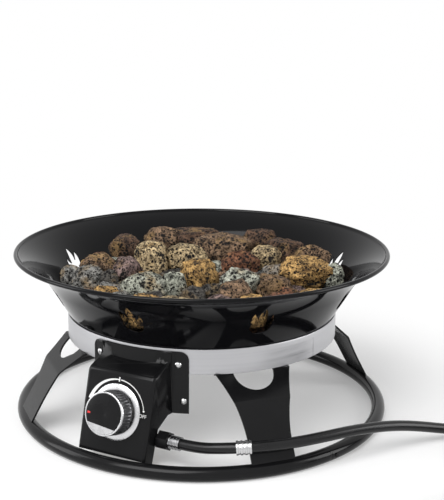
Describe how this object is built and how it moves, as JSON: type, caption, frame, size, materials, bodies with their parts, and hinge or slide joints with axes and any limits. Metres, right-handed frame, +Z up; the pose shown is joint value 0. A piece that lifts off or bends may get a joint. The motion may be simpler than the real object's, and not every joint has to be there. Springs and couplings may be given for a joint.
{
  "type": "portable propane fire pit",
  "caption": "Portable propane fire pit: flared steel bowl of lava rocks with flame cut-outs on a band, splayed legs and base ring, with a leaning valve box, knob and long gas hose",
  "frame": {"origin": "centre of the base ring on the ground", "axes": "+Z up, -Y towards the front of the picture, +X to the right; the valve box faces front left"},
  "size_m": [0.8551, 0.6085, 0.2392],
  "materials": {
    "black_enamel": "gloss black baked enamel",
    "satin_band": "satin rolled steel strip",
    "black_paint": "semi-gloss black powder coat",
    "zinc_steel": "bright zinc plate",
    "burner_steel": "plain stainless steel",
    "brass": "turned brass",
    "aluminium": "turned and bead-blasted aluminium",
    "black_plastic": "moulded black plastic",
    "hose_rubber": "smooth black rubber",
    "lava": "porous lava stone, matt grey-brown"
  },
  "bodies": {
    "base": {"base_ring": "black_paint", "ring_screw": "zinc_steel", "leg_front": "black_paint", "leg_right": "black_paint", "leg_rear": "black_paint", "leg_left": "black_paint", "support_band": "satin_band", "bowl": "black_enamel", "bowl_brackets": "black_paint", "bowl_bolts": "zinc_steel", "bowl_nuts": "zinc_steel", "burner_ring": "burner_steel", "burner_locknut": "zinc_steel", "mixer_tube": "burner_steel", "air_shutter": "burner_steel", "gas_orifice": "brass", "supply_tube": "burner_steel", "valve_body": "brass", "valve_nut": "aluminium", "stem_spring": "zinc_steel", "dial_bezel": "aluminium", "valve_housing": "black_paint", "housing_screws": "zinc_steel", "housing_nuts": "zinc_steel", "inlet_elbow": "brass", "hose_nut": "brass", "hose_ferrule": "aluminium", "gas_hose": "hose_rubber", "hose_collar": "aluminium", "hose_coil": "hose_rubber", "coil_ties": "zinc_steel", "hose_tail": "hose_rubber", "tail_ferrule": "aluminium", "regulator_body": "aluminium", "regulator_cover": "aluminium", "tank_nipple": "brass", "lava_rocks": "lava", "lava_rocks_lower": "lava"},
    "valve_rotor": {"valve_plug": "brass"},
    "knob": {"valve_stem": "brass", "control_knob": "aluminium", "knob_cap": "black_plastic"},
    "tank_nut": {"tank_nut": "black_plastic"}
  },
  "joints": [
    {"name": "knob_turn", "type": "hinge", "parent": "base", "child": "valve_rotor", "pos_m": [-0.11106, -0.20369, 0.0694], "axis": [-0.4617, -0.8469, 0.2639], "range_deg": [-160, 0]},
    {"name": "knob_press", "type": "slide", "parent": "valve_rotor", "child": "knob", "axis": [0.4617, 0.8469, -0.2639], "range_m": [0, 0.003], "stiffness_N_per_m": 500, "deforming": ["stem_spring"]},
    {"name": "tank_nut_spin", "type": "hinge", "parent": "base", "child": "tank_nut", "pos_m": [0.3293, -0.31535, 0.02305], "axis": [-0.9877, -0.1565, 0], "continuous": true}
  ]
}
